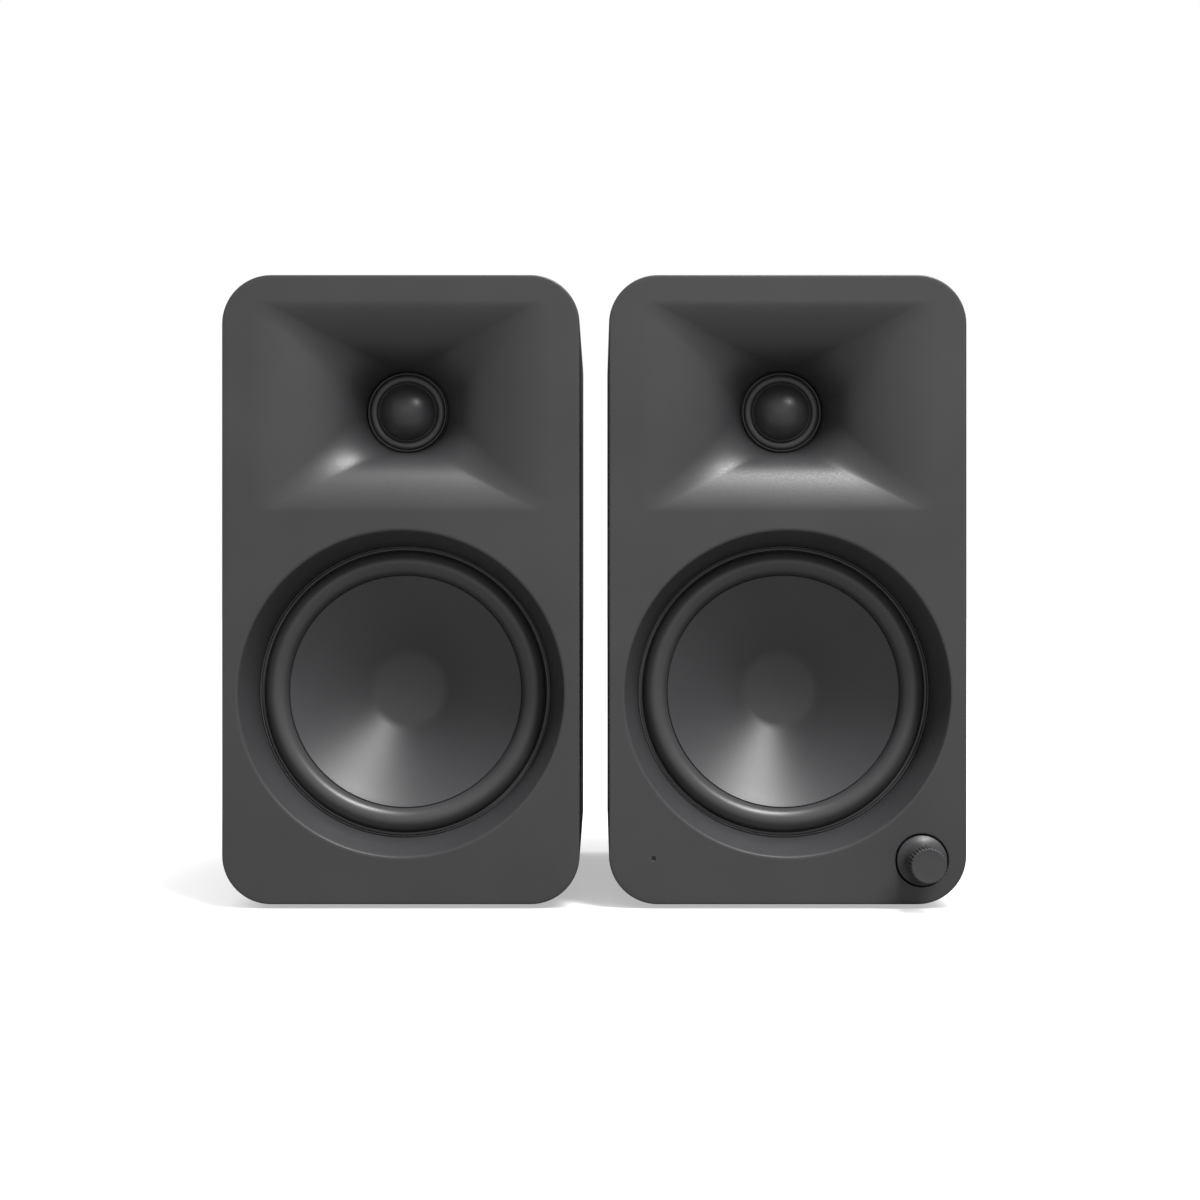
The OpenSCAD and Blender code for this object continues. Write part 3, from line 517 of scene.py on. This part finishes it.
def woofer(side):
    moving = f"{side}_woofer_moving"
    body = f"{side}_speaker"

    # Cone: a rolled rim, a straight wall and a smooth dish
    rim_r = CONE_HI.x
    rim_y, centre_y = CONE_LO.y, CONE_HI.y - 1.8
    dish_y = rim_y + CONE_FALL
    front = [(rim_r - 0.3, rim_y - 0.45)]
    for i in range(15):
        t = i / 14
        front.append((lerp(rim_r - 0.9, DISH_R, t), lerp(rim_y - 0.1, dish_y, t ** 0.96)))
    for i in range(1, 13):
        t = i / 12
        front.append((DISH_R * (1 - t), lerp(dish_y, centre_y, 2 * t - t * t)))
    back = [(r, y + 0.6) for r, y in reversed(front[1:])]
    profile = front + back + [(rim_r, rim_y + 0.5), (rim_r, rim_y - 0.2)]
    turned(f"{side}_woofer_cone_skin", side, WOOFER_Z, profile, "cone", moving, f"{side}_woofer_cone")

    # Surround: half a roll between the cone's rim and the frame, with a gasket bead outside it
    roll_r, half, base = 36.8, 3.35, SEAT_Y - 0.35
    front = arc(roll_r, base, half, 186, 354, 28)
    inner = [(rim_r - 1.4, rim_y + 0.72), (rim_r + 0.05, rim_y + 0.3)]
    outer = [(roll_r + half + 0.35, base + 0.25), (41.05, base + 0.2), (41.2, base - 0.6)]
    outer += arc(41.4, base - 0.8, 0.25, 180, 360, 6) + [(41.65, base + 0.35)]
    under = arc(roll_r, base + 0.1, half - 0.6, 186, 354, 20)[::-1]
    outer += [(roll_r + half - 0.2, base + 0.36)]
    profile = inner + front + outer + under + [(rim_r - 1.4, rim_y + 1.0)]
    verts, faces = revolve(profile, 0, WOOFER_Z, 144)
    obj = finish_mesh(f"{side}_woofer_roll", verts, faces, ORIGIN[side], 50)
    obj.data.materials.append(MATERIALS["surround_rubber"])
    stretch(obj, body, moving, WOOFER_Z, 33.6, 40.4, side)
    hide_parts(f"{side}_woofer_surround")

    # Spider: a corrugated cloth disc between the former and the frame
    spider_y = (SPIDER_LO.y + SPIDER_HI.y) / 2
    wave = []
    for i in range(85):
        t = i / 84
        height = SPIDER_WAVE * math.sin(7 * math.pi * t) * (1 - t ** 6)
        wave.append((lerp(9.84, SPIDER_HI.x, t), spider_y + height))
    profile = [(r, y - SPIDER_HALF_T) for r, y in wave]
    profile += [(r, y + SPIDER_HALF_T) for r, y in reversed(wave)]
    verts, faces = revolve(profile, 0, WOOFER_Z, 96)
    obj = finish_mesh(f"{side}_woofer_spider_cloth", verts, faces, ORIGIN[side], 50)
    obj.data.materials.append(MATERIALS["spider_cloth"])
    stretch(obj, body, moving, WOOFER_Z, 10.8, 29.5, side)
    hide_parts(f"{side}_woofer_spider")


def stretch(obj, fixed, moving, z, r_in, r_out, side):
    """Bakes a roll's or a spider's placement into its mesh."""
    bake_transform(obj)


def tweeter(side):
    moving = f"{side}_tweeter_moving"
    body = f"{side}_speaker"
    y_dome = DOME_HI.y - 0.35
    dome_r, dome_h = DOME_HI.x, DOME_HI.y - DOME_LO.y - 0.35
    big_r = (dome_r ** 2 + dome_h ** 2) / (2 * dome_h)
    cap_r = dome_r - 0.4
    front = [(dome_r, y_dome), (dome_r - 0.02, y_dome - 0.45)]
    front += arc(dome_r - 0.17, y_dome - 0.62, 0.15, 0, -180, 6)
    for i in range(25):
        r = cap_r * (1 - i / 24)
        front.append((r, y_dome - dome_h + big_r - math.sqrt(big_r ** 2 - r ** 2)))
    back = [(min(r * 0.985, cap_r - 0.1), y + 0.3) for r, y in reversed(front[9:])]
    back += [(cap_r - 0.1, y_dome + 0.2), (dome_r, y_dome + 0.2)]
    turned(
        f"{side}_dome_skin", side, TWEETER_Z, front + back, "dome_cloth",
        moving, f"{side}_tweeter_dome", steps=96,
    )

    roll_r, half, crown = 9.72, 1.0, 0.62
    profile = [(dome_r - 0.05, y_dome + 0.12), (dome_r + 0.1, y_dome + 0.1)]
    profile += [(r, y_dome + (y - y_dome) * crown) for r, y in arc(roll_r, y_dome, half, 182, 358, 20)]
    profile += [(10.8, y_dome + 0.1), (10.8, y_dome + 0.3)]
    under = arc(roll_r, y_dome, half - 0.2, 185, 355, 12)[::-1]
    profile += [(r, y_dome + 0.25 + (y - y_dome) * crown) for r, y in under]
    profile += [(dome_r - 0.05, y_dome + 0.3)]
    verts, faces = revolve(profile, 0, TWEETER_Z, 96)
    obj = finish_mesh(f"{side}_dome_roll", verts, faces, ORIGIN[side], 50)
    obj.data.materials.append(MATERIALS["surround_rubber"])
    stretch(obj, body, moving, TWEETER_Z, 8.6, 10.6, side)
    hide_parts(f"{side}_tweeter_surround")

    flange = [
        (10.1, RING_Y + 1.1), (10.9, RING_Y + 1.1), (10.9, RING_Y + 0.3), (11.0, RING_Y), (11.3, RING_Y),
        (11.4, RING_Y + 0.25), (11.4, THROAT_Y + 0.2), (19.5, THROAT_Y + 0.2),
        (19.5, THROAT_Y + 2.2), (10.1, THROAT_Y + 2.2),
    ]
    turned(
        f"{side}_tweeter_ring", side, TWEETER_Z, flange, "driver_plastic",
        body, f"{side}_tweeter_flange", steps=96,
    )


# ---------- Knob ----------

def knob():
    """A thin skirt that sweeps into a stem, and a grip with teeth, all from one set of rings."""
    per = 10
    steps = TEETH * per
    front_y = -KNOB_OUT
    grip_y0 = front_y + GRIP_D

    def ring(r, y, depth=0.0):
        out = []
        for k in range(steps):
            wave = abs(math.cos(math.pi * (k % per) / per)) ** 0.7
            rr = r - depth * (1 - wave)
            a = 2 * math.pi * k / steps
            out.append((KNOB.x + rr * math.cos(a), y, KNOB.z + rr * math.sin(a)))
        return out

    rings = [ring(2.2, 1.0), ring(SKIRT_R - 0.25, 1.0), ring(SKIRT_R, 0.75), ring(SKIRT_R, -0.35)]
    rings += [ring(r, y) for r, y in arc(SKIRT_R - 0.3, -0.35, 0.3, 0, -75, 5)[1:]]
    for i in range(1, 17):
        t = i / 16
        rings.append(ring(lerp(STEM_R, SKIRT_R - 0.25, (1 - t) ** SKIRT_SWEEP), lerp(-0.68, grip_y0, t)))
    rings += [ring(STEM_R + 0.02, grip_y0 - 0.05)]
    rings += [ring(GRIP_R - 0.08, grip_y0 - 0.15, TOOTH_DEPTH * 0.85)]
    grip_ys = (grip_y0 - 0.3, grip_y0 - 1.8, grip_y0 - 3.6, front_y + 0.45)
    rings += [ring(GRIP_R, y, TOOTH_DEPTH) for y in grip_ys]
    rings += [ring(GRIP_R - 0.08, front_y + 0.2, TOOTH_DEPTH * 0.75)]
    rings += [ring(GRIP_R - 0.22, front_y + 0.05, TOOTH_DEPTH * 0.4)]
    rings += [ring(GRIP_R - 0.4, front_y)]
    rings += [ring(r, front_y + 0.04) for r in (GRIP_R - 0.7, GRIP_R * 0.5)]
    skin = Skin()
    loops = [skin.ring(r) for r in rings]
    for a, b in zip(loops, loops[1:]):
        skin.band(a, b)
    for loop, y in ((loops[0], 1.0), (loops[-1], front_y + 0.04)):
        centre = skin.ring([(KNOB.x, y, KNOB.z)])[0]
        skin.faces += [(loop[i], loop[(i + 1) % steps], centre) for i in range(steps)]
    obj = finish_mesh("knob_skin", skin.verts, skin.faces, ORIGIN["right"], 40)
    return dress(obj, "case_plastic", "volume_knob", "volume_knob")


# ---------- Build ----------

for side in SIDES:
    front_cap(side)
    case_shell(side)
    woofer(side)
    tweeter(side)
knob()

EDGE_ROUNDS = {"rear_panel": 0.35, "case_screws": 0.12, "feet": 0.3, "link_socket": 0.2}
rounds = {f"{side}_{kind}": width for side in SIDES for kind, width in EDGE_ROUNDS.items()}
rounds |= {"rca_sockets": 0.15, "power_socket": 0.25}
slot_of = {s["node"]: s["material_slot"] for s in frame["record"]["subparts"]}
body_of = {n: b for b, nodes in frame["record"]["behaviour"]["bodies"].items() for n in nodes}
for node, width in rounds.items():
    obj = soft_copy(node, width)
    obj.data.materials.clear()
    obj.data.materials.append(MATERIALS[slot_of[node]])
    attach(obj, body_of[node])
for node, obj in frame["nodes"].items():
    obj.data.materials.clear()
    obj.data.materials.append(MATERIALS[slot_of[node]])

# ---------- Studio, in metres ----------

def seen(tree, to_camera, to_others):
    """Mixes two shaders: one for what the camera sees directly, one for the light that the surface gives."""
    mix = tree.nodes.new("ShaderNodeMixShader")
    link(tree, tree.nodes.new("ShaderNodeLightPath").outputs["Is Camera Ray"], mix.inputs["Fac"])
    link(tree, to_others, mix.inputs[1])
    link(tree, to_camera, mix.inputs[2])
    return mix.outputs[0]


def shader(tree, kind, colour, strength=None):
    n = tree.nodes.new(kind)
    n.inputs["Color"].default_value = (colour, colour, colour, 1)
    if strength is not None:
        n.inputs["Strength"].default_value = strength
    return n.outputs[0]


FLOOR_BOUNCE, FLOOR_TONE = 0.25, 0.5
# Painted shade on the floor: the camera-seen glow is lower where ambient occlusion finds the speakers close
# by, and a little lower near the pair than far off
FLOOR_GLOW_UNDER_PAINTED_SHADE, FLOOR_GLOW_NEAR, FLOOR_GLOW_FAR = 0.45, 0.88, 1.0
FLOOR_NEAR_M, FLOOR_FAR_M = 0.25, 0.9
FLOOR_HALF_M = 9
PAINTED_SHADE_REACH_M = 0.14
WORLD_LIGHT = 0.42
LIGHT_AIM_M = (0, -0.06, 0.09)

floor_mesh = bpy.data.meshes.new("floor")
floor_corners = [(x * FLOOR_HALF_M, y * FLOOR_HALF_M, 0) for x, y in ((-1, -1), (1, -1), (1, 1), (-1, 1))]
floor_mesh.from_pydata(floor_corners, [], [(0, 1, 2, 3)])
floor = bpy.data.objects.new("floor", floor_mesh)
bpy.context.scene.collection.objects.link(floor)
floor_mat, floor_tree, floor_bsdf = node_tree("floor_paper")
floor_tree.nodes.remove(floor_bsdf)
add = floor_tree.nodes.new("ShaderNodeAddShader")
link(floor_tree, shader(floor_tree, "ShaderNodeBsdfDiffuse", FLOOR_TONE), add.inputs[0])
from_middle = floor_tree.nodes.new("ShaderNodeVectorMath")
from_middle.operation = "LENGTH"
link(floor_tree, object_coords(floor_tree), from_middle.inputs[0])
# Painted shade: ambient occlusion lowers the floor's glow around the speakers' bases and in the gap between
# them, standing in for their contact shadows
painted_shade_occlusion = floor_tree.nodes.new("ShaderNodeAmbientOcclusion")
painted_shade_occlusion.samples = 16
painted_shade_occlusion.inputs["Distance"].default_value = PAINTED_SHADE_REACH_M
near_glow_with_painted_shade = ranged(floor_tree, painted_shade_occlusion.outputs["AO"], FLOOR_GLOW_UNDER_PAINTED_SHADE, FLOOR_GLOW_NEAR, 0.1, 0.8)
far_share = ranged(floor_tree, from_middle.outputs["Value"], 0.0, 1.0, FLOOR_NEAR_M, FLOOR_FAR_M)
glow = floor_tree.nodes.new("ShaderNodeMix")
link(floor_tree, far_share, glow.inputs[0])
link(floor_tree, near_glow_with_painted_shade, glow.inputs[2])
glow.inputs[3].default_value = FLOOR_GLOW_FAR
emission = floor_tree.nodes.new("ShaderNodeEmission")
link(floor_tree, glow.outputs[0], emission.inputs["Strength"])
link(floor_tree, emission.outputs[0], add.inputs[1])
floor_out = seen(floor_tree, add.outputs[0], shader(floor_tree, "ShaderNodeBsdfDiffuse", FLOOR_BOUNCE))
link(floor_tree, floor_out, floor_tree.nodes["Material Output"].inputs["Surface"])
floor_mesh.materials.append(floor_mat)

world = bpy.data.worlds.new("studio")
world.use_nodes = True
sky = world.node_tree
backdrop = seen(
    sky, shader(sky, "ShaderNodeBackground", 1.0, 1.0), shader(sky, "ShaderNodeBackground", 1.0, WORLD_LIGHT)
)
link(sky, backdrop, sky.nodes["World Output"].inputs["Surface"])
bpy.context.scene.world = world


def softbox(name, at, size, power):
    """An area light that faces the pair."""
    data = bpy.data.lights.new(name, "AREA")
    data.shape = "RECTANGLE"
    data.size, data.size_y = size
    data.energy = power
    light = bpy.data.objects.new(name, data)
    light.location = at
    light.rotation_euler = (Vector(LIGHT_AIM_M) - Vector(at)).to_track_quat("-Z", "Y").to_euler()
    bpy.context.scene.collection.objects.link(light)


softbox("key", (0.66, -0.94, 2.33), (0.5, 1.3), 90)
softbox("key_low", (1.11, -1.54, 1.76), (0.5, 0.55), 20)
softbox("front", (0, -2.6, 0.45), (2.4, 1.8), 8)
